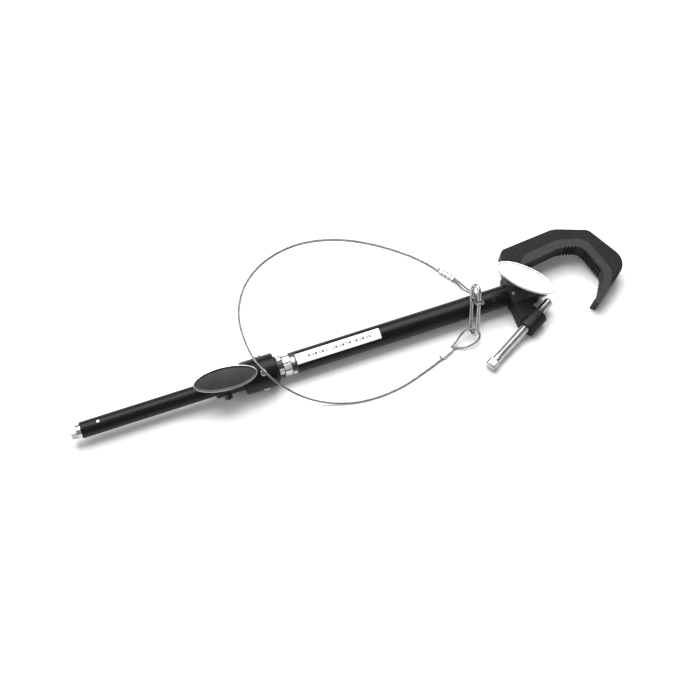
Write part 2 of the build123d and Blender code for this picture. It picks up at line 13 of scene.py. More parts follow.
import bpy
import numpy as np
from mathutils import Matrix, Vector

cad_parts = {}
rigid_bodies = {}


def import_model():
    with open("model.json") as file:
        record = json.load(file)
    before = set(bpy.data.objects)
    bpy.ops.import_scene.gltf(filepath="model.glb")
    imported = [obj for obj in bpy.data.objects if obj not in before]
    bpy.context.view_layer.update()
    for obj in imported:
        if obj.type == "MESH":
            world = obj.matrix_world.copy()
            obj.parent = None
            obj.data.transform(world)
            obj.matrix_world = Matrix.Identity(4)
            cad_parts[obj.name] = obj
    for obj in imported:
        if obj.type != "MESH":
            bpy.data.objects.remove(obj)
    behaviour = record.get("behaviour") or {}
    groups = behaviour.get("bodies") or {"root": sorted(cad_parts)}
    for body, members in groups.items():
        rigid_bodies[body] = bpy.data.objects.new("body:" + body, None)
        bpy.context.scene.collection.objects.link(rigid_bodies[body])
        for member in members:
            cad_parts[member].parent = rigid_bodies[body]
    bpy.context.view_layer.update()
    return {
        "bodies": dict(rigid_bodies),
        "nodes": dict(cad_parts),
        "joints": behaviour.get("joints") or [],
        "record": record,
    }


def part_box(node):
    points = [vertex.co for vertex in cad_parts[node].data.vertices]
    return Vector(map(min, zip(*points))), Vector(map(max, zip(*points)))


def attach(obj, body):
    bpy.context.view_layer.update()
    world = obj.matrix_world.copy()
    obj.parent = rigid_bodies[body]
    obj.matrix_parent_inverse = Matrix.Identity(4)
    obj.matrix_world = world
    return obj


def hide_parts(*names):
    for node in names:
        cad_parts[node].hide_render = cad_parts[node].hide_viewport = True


LOG = logging.getLogger("drop_arm")
MM = 0.001
TURN = 2 * math.pi


# ---- places -----------------------------------------------------------------------------------
@dataclass(frozen=True)
class Seat:
    """A right-handed set of axes with an origin, in metres."""

    origin: np.ndarray
    across: np.ndarray
    up: np.ndarray
    out: np.ndarray

    @classmethod
    def facing(cls, origin, out, towards, turn: float = 0.0) -> "Seat":
        """Axes with `out` as the normal.

        Args:
            origin: Where the axes meet.
            out: The normal.
            towards: What `across` leans to before it is turned.
            turn: Degrees by which `across` is turned about the normal.

        Returns:
            The axes, all of length one.
        """
        normal = np.array(out, float) / np.linalg.norm(out)
        first = np.array(towards, float) - np.dot(towards, normal) * normal
        first /= np.linalg.norm(first)
        second = np.cross(normal, first)
        angle = math.radians(turn)
        across = math.cos(angle) * first + math.sin(angle) * second
        return cls(np.array(origin, float), across, np.cross(normal, across), normal)

    def place(self, x: np.ndarray, y: np.ndarray, z: np.ndarray) -> np.ndarray:
        """Points at local x, y, z, stacked on the last axis."""
        x, y, z = np.broadcast_arrays(x, y, z)
        flat = x[..., None] * self.across + y[..., None] * self.up
        return self.origin + flat + z[..., None] * self.out


# ---- meshes -----------------------------------------------------------------------------------
@dataclass
class Skin:
    """A closed surface: rings of points, one after the other, with both ends closed on a point."""

    name: str
    rings: np.ndarray
    crease: float = 35.0
    tones: dict[str, np.ndarray] = field(default_factory=dict)

    def build(self) -> bpy.types.Object:
        """Makes the mesh object, with its faces pointing outward.

        Quad (i, j) joins points j and j + 1 of rings i and i + 1. The middle point of the first
        and of the last ring closes the surface with a fan.

        Returns:
            The object, linked into the scene.
        """
        count, around, _ = self.rings.shape
        points = np.concatenate(
            [self.rings.reshape(-1, 3), self.rings[:1].mean(axis=1), self.rings[-1:].mean(axis=1)]
        )
        ring, step = np.meshgrid(np.arange(count - 1), np.arange(around), indexing="ij")
        following = (step + 1) % around
        quads = np.stack(
            [
                ring * around + step,
                ring * around + following,
                (ring + 1) * around + following,
                (ring + 1) * around + step,
            ],
            axis=-1,
        ).reshape(-1, 4)
        base, after = np.arange(around), (np.arange(around) + 1) % around
        low, high = count * around, count * around + 1
        top = (count - 1) * around
        fans = np.concatenate(
            [
                np.stack([after, base, np.full(around, low)], axis=-1),
                np.stack([top + base, top + after, np.full(around, high)], axis=-1),
            ]
        )
        if self.is_inside_out(points, quads):
            quads, fans = quads[:, ::-1], fans[:, ::-1]
        mesh = bpy.data.meshes.new(self.name)
        mesh.from_pydata(points.tolist(), [], quads.tolist() + fans.tolist())
        mesh.shade_smooth()
        mesh.set_sharp_from_angle(angle=math.radians(self.crease))
        for title, values in self.tones.items():
            layer = mesh.attributes.new(title, "FLOAT", "POINT")
            whole = np.concatenate([values.reshape(-1), values[0, :1], values[-1, :1]])
            layer.data.foreach_set("value", whole.astype(np.float32))
        made = bpy.data.objects.new(self.name, mesh)
        bpy.context.scene.collection.objects.link(made)
        return made

    @staticmethod
    def is_inside_out(points: np.ndarray, quads: np.ndarray) -> bool:
        """True if six times the volume, the sum of a . (b x c) over half quads, is negative."""
        a, b, c, d = (points[quads[:, k]] - points.mean(axis=0) for k in range(4))
        first, second = np.cross(b, c), np.cross(c, d)
        halves = np.einsum("ij,ij->i", a, first) + np.einsum("ij,ij->i", a, second)
        return float(halves.sum()) < 0


def circle(count: int) -> np.ndarray:
    """Angles all the way round, without the last one that would double the first."""
    return np.arange(count) * TURN / count


def vertices(mesh: bpy.types.Mesh) -> np.ndarray:
    """The places of all vertices of a mesh, one row each."""
    places = np.zeros(len(mesh.vertices) * 3)
    mesh.vertices.foreach_get("co", places)
    return places.reshape(-1, 3)


def resample(points: np.ndarray, step: float) -> np.ndarray:
    """Points at equal steps of arc length along a chain of points."""
    gaps = np.linalg.norm(np.diff(points, axis=0), axis=1)
    along = np.concatenate([[0], np.cumsum(gaps)])
    wanted = np.linspace(0, along[-1], max(2, round(along[-1] / step) + 1))
    return np.stack([np.interp(wanted, along, points[:, axis]) for axis in range(3)], axis=-1)


def carried_axes(
    points: np.ndarray, reference: np.ndarray
) -> tuple[np.ndarray, np.ndarray, np.ndarray]:
    """Axes that travel along a line without twisting about it.

    The side axis starts as reference x tangent; the turn it would make about the tangent, the
    running sum of (change of side) . (second axis), is then taken off.

    Args:
        points: The line.
        reference: A direction that the line never takes.

    Returns:
        Tangents, and the two axes square to them.
    """
    tangent = np.gradient(points, axis=0)
    tangent /= np.linalg.norm(tangent, axis=1, keepdims=True)
    side = np.cross(reference, tangent)
    side /= np.linalg.norm(side, axis=1, keepdims=True)
    second = np.cross(tangent, side)
    turns = np.einsum("ij,ij->i", np.diff(side, axis=0), second[:-1])
    spin = np.concatenate([[0], np.cumsum(turns)])[:, None]
    return (
        tangent,
        side * np.cos(spin) - second * np.sin(spin),
        side * np.sin(spin) + second * np.cos(spin),
    )


def tube_rings(
    points: np.ndarray, reference: np.ndarray, radius: np.ndarray, angle: np.ndarray
) -> np.ndarray:
    """Ring points: line point + radius (cos a side + sin a second), both free for each point."""
    _, side, second = carried_axes(points, reference)
    return (
        points[:, None]
        + (radius * np.cos(angle))[..., None] * side[:, None]
        + (radius * np.sin(angle))[..., None] * second[:, None]
    )


# ---- shaders ----------------------------------------------------------------------------------
class Signal:
    """A number socket that takes part in Python sums, adding a Math node for each."""

    def __init__(self, recipe: "Recipe", socket: bpy.types.NodeSocket) -> None:
        """Wraps a socket of the recipe's node tree."""
        self.recipe = recipe
        self.socket = socket

    def math(self, operation: str, *values) -> "Signal":
        """The result of a Math node on these values."""
        inputs = dict(enumerate(values))
        node = self.recipe.node("ShaderNodeMath", {"operation": operation}, inputs)
        return Signal(self.recipe, node.outputs[0])

    def __add__(self, other) -> "Signal":
        """Sum."""
        return self.math("ADD", self, other)

    __radd__ = __add__

    def __sub__(self, other) -> "Signal":
        """Difference."""
        return self.math("SUBTRACT", self, other)

    def __rsub__(self, other) -> "Signal":
        """Difference, the other way round."""
        return self.math("SUBTRACT", other, self)

    def __mul__(self, other) -> "Signal":
        """Product."""
        return self.math("MULTIPLY", self, other)

    __rmul__ = __mul__

    def __lt__(self, other) -> "Signal":
        """One where it is less than the other, else nought."""
        return self.math("LESS_THAN", self, other)

    def __gt__(self, other) -> "Signal":
        """One where it is more than the other, else nought."""
        return self.math("GREATER_THAN", self, other)

    def __abs__(self) -> "Signal":
        """Size without sign."""
        return self.math("ABSOLUTE", self)

    def __mod__(self, other) -> "Signal":
        """Remainder, never negative."""
        return self.math("FLOORED_MODULO", self, other)


class Recipe:
    """One node material, built up node by node."""

    def __init__(self, name: str) -> None:
        """Starts an empty material with a Principled shader."""
        self.material = bpy.data.materials.new(name)
        self.material.use_nodes = True
        self.tree = self.material.node_tree
        self.tree.nodes.clear()
        self.shader = self.node("ShaderNodeBsdfPrincipled", {}, {})
        output = self.node("ShaderNodeOutputMaterial", {}, {})
        self.tree.links.new(self.shader.outputs[0], output.inputs[0])
        self.place = self.node("ShaderNodeTexCoord", {}, {}).outputs["Object"]

    def node(self, kind: str, settings: dict, inputs: dict) -> bpy.types.Node:
        """Adds a node.

        Args:
            kind: The node's type.
            settings: Its properties, set first; "stops" is a list of (place, grey) for a ramp.
            inputs: Values, signals or sockets, by socket name or number.

        Returns:
            The node.
        """
        node = self.tree.nodes.new(kind)
        for key, value in settings.items():
            if key == "stops":
                ramp = node.color_ramp
                ramp.elements[0].position = value[0][0]
                ramp.elements[-1].position = value[-1][0]
                for place, _ in value[1:-1]:
                    ramp.elements.new(place)
                for element, (_, grey) in zip(ramp.elements, value):
                    element.color = (grey, grey, grey, 1)
            else:
                setattr(node, key, value)
        for key, value in inputs.items():
            source = value.socket if isinstance(value, Signal) else value
            if isinstance(source, bpy.types.NodeSocket):
                self.tree.links.new(source, node.inputs[key])
            else:
                node.inputs[key].default_value = source
        return node

    def constants(self, **values) -> None:
        """Sets the shader's own sockets, named with _ for a space."""
        for key, value in values.items():
            socket = self.shader.inputs[key.replace("_", " ")]
            socket.default_value = (*value, 1) if isinstance(value, tuple) else value

    def link(self, name: str, value) -> None:
        """Feeds one of the shader's sockets."""
        source = value.socket if isinstance(value, Signal) else value
        self.tree.links.new(source, self.shader.inputs[name])

    def noise(
        self,
        scale: float,
        detail: float = 3,
        rough: float = 0.55,
        stretch: tuple[float, float, float] = (1, 1, 1),
        warp: float = 0,
    ) -> Signal:
        """Noise of a given scale, drawn out by a stretch along each axis."""
        mapping = self.node("ShaderNodeMapping", {}, {"Vector": self.place, "Scale": stretch})
        inputs = {
            "Vector": mapping.outputs[0],
            "Scale": scale,
            "Detail": detail,
            "Roughness": rough,
            "Distortion": warp,
        }
        return Signal(self, self.node("ShaderNodeTexNoise", {}, inputs).outputs[0])

    def cells(self, scale: float) -> Signal:
        """Distance to the nearest cell point."""
        inputs = {"Vector": self.place, "Scale": scale}
        node = self.node("ShaderNodeTexVoronoi", {"feature": "F1"}, inputs)
        return Signal(self, node.outputs["Distance"])

    def ramp(self, value: Signal, *stops: tuple[float, float]) -> Signal:
        """The value through a ramp of greys."""
        node = self.node("ShaderNodeValToRGB", {"stops": list(stops)}, {0: value})
        return Signal(self, node.outputs[0])

    def blend(self, share: Signal, first: tuple, second) -> bpy.types.NodeSocket:
        """Colour between two others, either of which may be a socket."""
        settings = {"data_type": "RGBA"}
        inputs = {0: share}
        for number, colour in ((6, first), (7, second)):
            inputs[number] = (*colour, 1) if isinstance(colour, tuple) else colour
        return self.node("ShaderNodeMix", settings, inputs).outputs[2]

    def tone(self, name: str) -> Signal:
        """A number painted on the mesh."""
        node = self.node("ShaderNodeAttribute", {"attribute_name": name}, {})
        return Signal(self, node.outputs["Fac"])

    def axes(self, centre: tuple[float, float, float]) -> tuple[Signal, Signal, Signal]:
        """Object coordinates measured from a centre."""
        inputs = {0: self.place, 1: centre}
        moved = self.node("ShaderNodeVectorMath", {"operation": "SUBTRACT"}, inputs)
        split = self.node("ShaderNodeSeparateXYZ", {}, {0: moved.outputs[0]})
        return tuple(Signal(self, socket) for socket in split.outputs)

    def bump(self, height: Signal, depth: float) -> None:
        """Relief of a given depth, in metres, on the shader's normal."""
        inputs = {"Height": height, "Distance": depth, "Strength": 1.0}
        self.link("Normal", self.node("ShaderNodeBump", {}, inputs).outputs[0])


@dataclass(frozen=True)
class Coated:
    """Satin paint or anodising on a smooth metal piece, faintly scuffed along its length."""

    name: str
    dark: float = 0.003
    light: float = 0.009
    rough: tuple[float, float] = (0.3, 0.42)
    grain: tuple[float, float, float] = (0.15, 1, 1)
    relief: float = 0.00002
    specular: float = 0.16

    def material(self) -> bpy.types.Material:
        """Builds the material."""
        recipe = Recipe(self.name)
        cloud = recipe.noise(38, 4)
        speck = recipe.noise(2600, 2)
        scuff = recipe.ramp(recipe.noise(900, 2, stretch=self.grain), (0.56, 0), (0.74, 1))
        shade = recipe.ramp(cloud * 0.7 + scuff * 0.25, (0.25, self.dark), (0.8, self.light))
        recipe.link("Base Color", shade)
        low, high = self.rough
        recipe.link("Roughness", low + (high - low) * cloud + 0.05 * scuff)
        recipe.bump(speck + 0.3 * cloud, self.relief)
        recipe.constants(Specular_IOR_Level=self.specular)
        return recipe.material


@dataclass(frozen=True)
class SandCast:
    """Black paint on a sand casting: grainy outside, smoother on the band along the throat."""

    name: str
    centre: tuple[float, float, float]
    normal: tuple[float, float, float]
    band_height: float = 0.0117
    relief: float = 0.00035
    specular: float = 0.16

    def material(self) -> bpy.types.Material:
        """Builds the material."""
        recipe = Recipe(self.name)
        x, y, z = recipe.axes(self.centre)
        a, b, c = self.normal
        height = abs(a * x + b * y + c * z)
        over = height * 1000.0 - self.band_height * 1000 + 0.5
        band = recipe.ramp(over, (0.45, 0), (0.55, 1))
        sand = recipe.noise(1500, 4, 0.7)
        lumps = recipe.noise(330, 3, 0.6, warp=0.4)
        pits = recipe.ramp(recipe.cells(520), (0.0, 0.0), (0.45, 1.0))
        worn = recipe.ramp(recipe.noise(60, 5, 0.7), (0.55, 0), (0.75, 1))
        grain = lumps * 0.55 + sand * 0.3 + pits * 0.25
        shade = recipe.ramp(grain, (0.25, 0.001), (0.6, 0.006), (0.95, 0.022))
        lit = shade + band * (0.011 + 0.016 * sand) + 0.005 * worn * sand
        recipe.link("Base Color", lit)
        recipe.link("Roughness", 0.5 + 0.14 * sand - 0.1 * band)
        recipe.bump(grain * (1 - 0.72 * band), self.relief)
        recipe.constants(Specular_IOR_Level=self.specular)
        return recipe.material


@dataclass(frozen=True)
class Metal:
    """Bare or plated metal with clouds, fine lines and wear, and painted shade from a tone on the
    mesh when one is given.
    """

    name: str
    dark: tuple[float, float, float] = (0.5, 0.5, 0.51)
    light: tuple[float, float, float] = (0.78, 0.78, 0.79)
    rough: tuple[float, float] = (0.16, 0.34)
    scale: float = 140.0
    line_stretch: tuple[float, float, float] = (1, 1, 1)
    relief: float = 0.00002
    shade_tone: str = ""

    def material(self) -> bpy.types.Material:
        """Builds the material."""
        recipe = Recipe(self.name)
        cloud = recipe.noise(self.scale, 4, 0.6)
        lines = recipe.noise(1400, 2, 0.5, stretch=self.line_stretch)
        share = recipe.ramp(cloud * 0.65 + lines * 0.35, (0.3, 0), (0.7, 1))
        # Painted shade: a tone painted on the mesh, when given, darkens the colour where it is low.
        if self.shade_tone:
            share = share * recipe.tone(self.shade_tone)
        recipe.link("Base Color", recipe.blend(share, self.dark, self.light))
        low, high = self.rough
        recipe.link("Roughness", low + (high - low) * cloud + 0.06 * lines)
        recipe.bump(lines * 0.6 + cloud * 0.4, self.relief)
        recipe.constants(Metallic=1.0)
        return recipe.material


@dataclass(frozen=True)
class RimmedEnamel:
    """Semi-gloss black enamel, worn to bright metal along the raised edges."""

    name: str

    def material(self) -> bpy.types.Material:
        """Builds the material."""
        recipe = Recipe(self.name)
        peel = recipe.noise(700, 3)
        cloud = recipe.noise(55, 4)
        worn = recipe.ramp(recipe.tone("edge") * 0.75 + cloud * 0.5, (0.8, 0), (0.98, 1))
        black = recipe.ramp(cloud, (0.3, 0.008), (0.8, 0.02))
        recipe.link("Base Color", recipe.blend(worn, black.socket, (0.42, 0.42, 0.43)))
        recipe.link("Metallic", worn * 0.9)
        recipe.link("Roughness", 0.26 + 0.1 * cloud - 0.03 * worn)
        recipe.bump(peel, 0.00006)
        recipe.constants(Specular_IOR_Level=0.5)
        return recipe.material


@dataclass(frozen=True)
class PrintedLabel:
    """White paper label with one row of dark rectangles, some notched, as a line of print."""

    name: str
    centre: tuple[float, float, float]
    roll: float
    half_length: float
    margin: float = 0.012
    half_row: float = 0.0014
    bar_pitch: float = 0.0041
    bar_width: float = 0.0027
    word_pitch: float = 0.0287
    word_gap: float = 0.0044
    notch_width: float = 0.0017
    shift: float = 0.5
    word_shift: float = 0.5013

    def material(self) -> bpy.types.Material:
        """Builds the material."""
        recipe = Recipe(self.name)
        x, y, z = recipe.axes(self.centre)
        angle = math.radians(self.roll)
        over = y * math.cos(angle) + z * math.sin(angle)
        row = abs(over) < self.half_row
        bars = ((x + self.shift) % self.bar_pitch) < self.bar_width
        words = 1 - (((x + self.word_shift) % self.word_pitch) < self.word_gap)
        inside = abs(x) < (self.half_length - self.margin)
        slots = ((x + self.shift) % (2 * self.bar_pitch)) < self.notch_width
        notched = 1 - (abs(over) < self.half_row / 2) * slots
        ink = row * bars * words * inside * notched
        fibre = recipe.noise(1900, 3)
        soft = recipe.noise(60, 3)
        paper = recipe.ramp(soft * 0.6 + fibre * 0.4, (0.3, 0.80), (0.7, 0.9))
        recipe.link("Base Color", recipe.blend(ink, paper.socket, (0.06, 0.06, 0.065)))
        recipe.link("Roughness", 0.42 + 0.12 * fibre)
        recipe.bump(fibre, 0.00002)
        return recipe.material


@dataclass(frozen=True)
class FoilBlocks:
    """Black band with three columns of silver and white blocks round the tube."""

    name: str
    centre: tuple[float, float, float]
    cells: int = 9

    def material(self) -> bpy.types.Material:
        """Builds the material."""
        recipe = Recipe(self.name)
        x, y, z = recipe.axes(self.centre)
        turn = y.math("ARCTAN2", y, z) * (self.cells / TURN) + 50.3
        beside = recipe.noise(420, 2)
        within = turn % 1.0
        second = (turn + 1.45) % 2.0
        third = (turn + 0.35) % 2.0
        middle = (abs(x) < 0.0042) * (within < 0.84)
        left = (abs(x + 0.0078) < 0.0026) * (second < 0.8)
        right = (abs(x - 0.0072) < 0.0022) * (third < 0.7)
        small = (abs(x - 0.0072) < 0.0014) * (abs(within - 0.5) < 0.17) * 0.12
        film = (middle + left + right).math("MINIMUM", middle + left + right, 1.0)
        tone = recipe.ramp(beside + 0.35 * (turn * 0.5 % 1.0), (0.4, 0.45), (0.9, 0.88))
        share = film + small * (1 - film)
        recipe.link("Base Color", recipe.blend(share, (0.012, 0.012, 0.013), tone.socket))
        recipe.link("Metallic", film * 0.65)
        recipe.link("Roughness", 0.42 - 0.16 * film + 0.1 * beside)
        recipe.bump(film + 0.15 * beside, 0.00006)
        return recipe.material


# ---- sub-assemblies ---------------------------------------------------------------------------
class Slot(Enum):
    """The record's material slots."""

    TUBE = "black_tube"
    CAST = "cast_black"
    BLACK_HANDLE = "black_handle"
    BRIGHT_HANDLE = "bright_handle"
    LABEL = "label"
    FOIL = "foil"
    BUSH = "bush_plastic"
    BRONZE = "bronze"
    BLACK_STEEL = "black_steel"
    BRIGHT_STEEL = "bright_steel"
    PLAIN_STEEL = "plain_steel"
    ROPE = "wire_rope"
    FERRULE = "ferrule"
    ZINC = "zinc"


@dataclass
class Arm:
    """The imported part: its axis, its joints and the finishes of its slots."""

    frame: dict
    axis_y: float = 0.0
    axis_z: float = 0.0
    finishes: dict[Slot, bpy.types.Material] = field(default_factory=dict)

    def __post_init__(self) -> None:
        """Finds the rod's axis from the outer tube's box, and makes the finishes."""
        low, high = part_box("outer_tube")
        self.axis_y, self.axis_z = (low.y + high.y) / 2, (low.z + high.z) / 2
        self.finishes = {slot: finish.material() for slot, finish in self.recipes().items()}

    def joint(self, name: str) -> dict:
        """The record's joint of that name."""
        return next(joint for joint in self.frame["joints"] if joint["name"] == name)

    def middle(self, node: str) -> tuple[float, float, float]:
        """The place on the rod's axis halfway along a node."""
        low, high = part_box(node)
        return ((low.x + high.x) / 2, self.axis_y, self.axis_z)

    def recipes(self) -> dict[Slot, object]:
        """Each slot's finish."""
        hook = self.joint("clamp_handle_turn")
        low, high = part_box("white_label")
        return {
            Slot.TUBE: Coated("black_tube"),
            Slot.CAST: SandCast("cast_black", self.middle("hub_bush"), tuple(hook["axis"])),
            Slot.BLACK_HANDLE: RimmedEnamel("black_handle"),
            Slot.BRIGHT_HANDLE: Metal(
                "bright_handle", (0.56, 0.56, 0.56), (0.7, 0.7, 0.7), (0.12, 0.26), 90, (1, 0.2, 1)
            ),
            Slot.LABEL: PrintedLabel("label", self.middle("white_label"), 14, (high.x - low.x) / 2),
            Slot.FOIL: FoilBlocks("foil", self.middle("foil_band")),
            Slot.BUSH: Coated("bush_plastic", 0.5, 0.62, (0.4, 0.5), (1, 1, 1), 0.00003, 0.5),
            # Bronze darkened to near black as painted shade for the groove at the hub and tube
            # joint, where the bush sits.
            Slot.BRONZE: Metal("bronze", (0.05, 0.035, 0.02), (0.14, 0.1, 0.065), (0.35, 0.5)),
            Slot.BLACK_STEEL: Coated(
                "black_steel", 0.01, 0.03, (0.28, 0.42), (1, 1, 1), 0.00003, 0.5
            ),
            Slot.BRIGHT_STEEL: Metal(
                "bright_steel", (0.34, 0.34, 0.35), (0.62, 0.62, 0.63), (0.14, 0.28)
            ),
            Slot.PLAIN_STEEL: Metal(
                "plain_steel", (0.36, 0.36, 0.37), (0.62, 0.62, 0.63), (0.24, 0.42)
            ),
            # The rope's colour carries painted shade in the grooves between strands, through the
            # strand shading tone.
            Slot.ROPE: Metal(
                "wire_rope",
                (0.07, 0.07, 0.075),
                (0.5, 0.5, 0.51),
                (0.28, 0.44),
                300,
                shade_tone="crown",
            ),
            Slot.FERRULE: Metal(
                "ferrule", (0.26, 0.26, 0.27), (0.52, 0.52, 0.53), (0.18, 0.36), 220, (1, 4, 1)
            ),
            Slot.ZINC: Metal("zinc", (0.28, 0.28, 0.29), (0.56, 0.56, 0.57), (0.14, 0.3), 190),
        }

    def dress(self) -> None:
        """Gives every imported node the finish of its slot."""
        for name, node in self.frame["nodes"].items():
            for holder in node.material_slots:
                title = Slot.PLAIN_STEEL.value
                if holder.material:
                    title = holder.material.name.split(".")[0]
                holder.material = self.finishes[Slot(title)]
            LOG.info("dressed %s", name)

    def add(self, piece: bpy.types.Object, body: str, slot: Slot, *nodes: str) -> bpy.types.Object:
        """Hands a finished piece over to its body, its slot and the nodes it stands for."""
        piece.data.materials.append(self.finishes[slot])
        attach(piece, body)
        if nodes:
            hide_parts(*nodes)
        LOG.info("built %s on %s", piece.name, body)
        return piece


@dataclass
class SafetyRope:
    """The wire rope, its two eyes closed by crimped sleeves, on the carabiner."""

    diameter: float = 2.4
    length: float = 1.0015
    lay: float = 15.0
    strands: int = 6
    step: float = 0.6
    groove: float = 2.1
    sleeve_width: float = 7.6
    sleeve_height: float = 4.7
    route: tuple = (
        (101.4, -26.0, 2.4), (108.4, -22.9, 2.6), (115.8, -19.4, 5.0), (124.1, -14.2, 10.4),
        (130.6, -12.9, 15.8), (138.1, -15.8, 18.1), (144.2, -20.5, 15.3), (142.4, -26.9, 9.8),
        (133.2, -29.4, 5.2), (121.0, -28.7, 3.0), (113.2, -24.0, 2.4), (103.2, -28.4, 2.5),
        (92.6, -33.1, 2.4), (69.5, -41.5, 1.3), (30.6, -53.3, 1.3), (-13.2, -54.2, 1.3),
        (-48.7, -43.8, 2.5), (-76.2, -29.8, 10.0), (-98.0, -14.6, 28.0), (-110.7, -1.2, 43.0),
        (-118.2, 20.0, 43.0), (-118.7, 54.3, 27.0), (-115.5, 89.0, 10.0), (-107.9, 117.4, 2.0),
        (-90.8, 144.3, 1.3), (-61.6, 165.5, 1.3), (-18.9, 176.0, 1.3), (26.9, 168.2, 1.3),
        (68.6, 146.5, 1.3), (105.3, 116.2, 1.3), (124.9, 93.5, 1.5), (133.4, 78.8, 2.4),
        (140.6, 68.0, 2.5), (146.5, 58.9, 2.4), (147.6, 51.7, 5.2), (147.0, 41.7, 13.5),
        (146.2, 30.7, 25.4), (147.0, 19.5, 38.0), (149.0, 9.1, 43.2), (143.1, -0.0, 51.0),
        (142.7, -6.7, 55.8), (152.1, -7.8, 54.2), (152.5, -1.1, 49.4), (152.3, 8.7, 42.6),
        (151.4, 19.5, 37.2), (150.6, 30.7, 24.8), (151.0, 42.2, 13.5), (151.4, 52.2, 5.2),
        (149.0, 60.5, 2.4), (141.2, 72.1, 2.5), (134.2, 83.0, 2.4),
    )

    def centreline(self) -> np.ndarray:
        """Points of the smooth NURBS line with the route as its control points, at equal steps."""
        curve = bpy.data.curves.new("rope_line", "CURVE")
        curve.dimensions = "3D"
        curve.resolution_u = 24
        spline = curve.splines.new("NURBS")
        spline.points.add(len(self.route) - 1)
        weighted = np.ones((len(self.route), 4))
        weighted[:, :3] = np.array(self.route) * MM
        spline.points.foreach_set("co", weighted.reshape(-1))
        spline.order_u = 3
        spline.use_endpoint_u = True
        holder = bpy.data.objects.new("rope_line", curve)
        mesh = bpy.data.meshes.new_from_object(holder)
        points = vertices(mesh)
        bpy.data.objects.remove(holder)
        bpy.data.meshes.remove(mesh)
        return resample(points, self.step * MM)

    def build(self, arm: Arm) -> None:
        """Six strands of radius q = R / 3 lie on a circle of radius 2q about a core. At an angle d
        from the nearest strand's middle the outline is 2q cos d + sqrt(q^2 - (2q sin d)^2), and the
        whole outline turns once in a lay. The strand shading tone is the outline's height between
        groove and crest, and is painted shade that darkens the rope's colour in the grooves.
        """
        points = self.centreline()
        count = self.strands * 6
        small = self.diameter / 6 * MM
        along = np.arange(len(points))[:, None] * self.step
        angle = circle(count)[None, :]
        turn = TURN / self.strands
        away = (angle + turn / 2) % turn - turn / 2
        under_root = small**2 - (2 * small * np.sin(away)) ** 2
        outline = 2 * small * np.cos(away) + np.sqrt(np.clip(under_root, 0, None))
        outline = np.maximum(outline, self.groove * small)
        outline = np.broadcast_to(outline, (len(points), count)).copy()
        # Painted shade: the tone runs from 0.25 in the grooves between strands to 1 on the crests,
        # and darkens the rope's colour.
        crown = np.clip((outline / small - self.groove) / (3 - self.groove), 0, 1)
        outline[[0, -1]] *= 0.7
        reference = np.array((0.35, 0.5, 0.79))
        rings = tube_rings(points, reference, outline, angle + TURN * along / self.lay)
        rope = Skin("wire_rope", rings, 80, {"crown": 0.25 + 0.75 * crown}).build()
        arm.add(rope, "arm", Slot.ROPE, "safety_cable")
        lower = self.sleeve(
            "crimp_sleeve_lower", (100.4, -28.0, 2.4), (0.916, 0.40, 0), 17.0, ()
        )
        upper = self.sleeve(
            "crimp_sleeve_upper", (140.3, 71.0, 2.4), (0.549, -0.836, 0), 20.6, (-4.6, 0.8, 6.0)
        )
        arm.add(lower, "arm", Slot.FERRULE, "cable_sleeve_lower")
        arm.add(upper, "arm", Slot.FERRULE, "cable_sleeve_upper")

    def sleeve(
        self, name: str, middle: tuple, way: tuple, length: float, crimps: tuple
    ) -> bpy.types.Object:
        """Flat oval sleeve with two barrels, belled ends and crimped grooves.

        Each ring is a slot of the sleeve's width and height, waisted a little between the barrels,
        times a scale that falls by about a sixth at each crimp as exp(-distance^4). The first
        and last rings step inward, so that each end is a shallow cup round the strands.
        """
        seat = Seat.facing(np.array(middle) * MM, way, (way[1], -way[0], 0))
        half = length / 2
        angle = circle(56)[None, :]
        inner = np.linspace(-half + 0.5, half - 0.5, 60)
        heights = np.concatenate([[-half + 1.2, -half + 1.0, -half, -half, -half + 0.25], inner])
        heights = np.concatenate([heights, [half - 0.25, half, half, half - 1.0, half - 1.2]])
        cup = [0.3, 0.7, 0.74, 0.93, 0.99]
        scale = np.concatenate([cup, np.ones(60), cup[::-1]])
        for crimp in crimps:
            scale[5:65] -= 0.17 * np.exp(-((inner - crimp) ** 4))
        straight = (self.sleeve_width - self.sleeve_height) / 2
        radius = self.sleeve_height / 2
        shift = straight * np.tanh(4 * np.cos(angle))
        waist = 1 - 0.16 * np.exp(-((np.cos(angle) / 0.22) ** 2)) * (not crimps)
        x = (shift + radius * np.cos(angle)) * scale[:, None]
        y = radius * np.sin(angle) * waist * scale[:, None]
        return Skin(name, seat.place(x * MM, y * MM, heights[:, None] * MM + 0 * x), 40).build()


